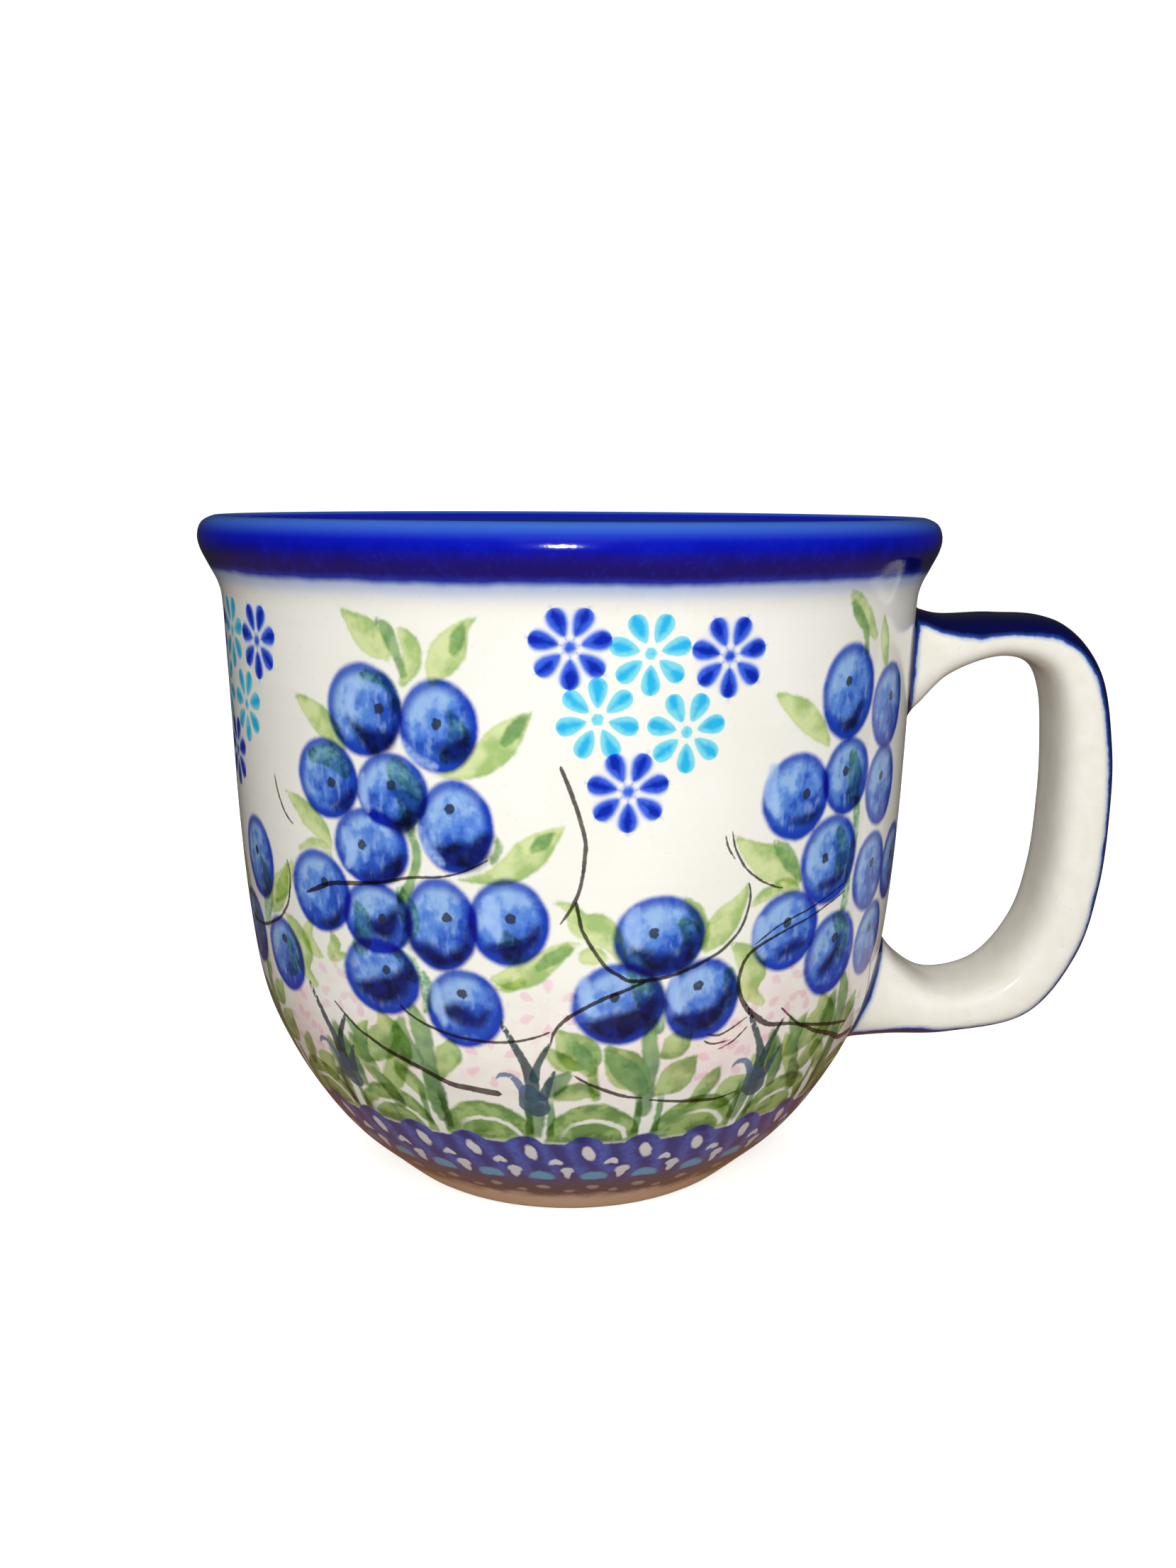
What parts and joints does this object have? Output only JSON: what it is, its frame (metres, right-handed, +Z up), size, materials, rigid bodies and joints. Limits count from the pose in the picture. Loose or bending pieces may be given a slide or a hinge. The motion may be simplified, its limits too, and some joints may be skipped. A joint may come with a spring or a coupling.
{
  "type": "mug",
  "caption": "Round-bottomed stoneware mug with a rolled flared rim and a pulled strap handle, glazed and painted with blueberries, leaves and small flowers.",
  "frame": {"origin": "middle of the whole object's footprint, on the plane the foot ring rests on", "axes": "+Z up out of the mouth, +X from the cup towards the handle, +Y towards the back when the handle is on the right"},
  "size_m": [0.13, 0.104, 0.0944],
  "materials": {
    "painted_glaze": "clear glossy glaze over cream slip, underglaze painting and a cobalt rim",
    "white_glaze": "clear glossy glaze over cream slip, cobalt on the outer face",
    "cobalt_slip": "glossy cobalt line over joining slip"
  },
  "bodies": {
    "root": {"mug_body": "painted_glaze", "handle": "white_glaze", "upper_handle_slip": "cobalt_slip", "lower_handle_slip": "cobalt_slip"}
  },
  "joints": []
}
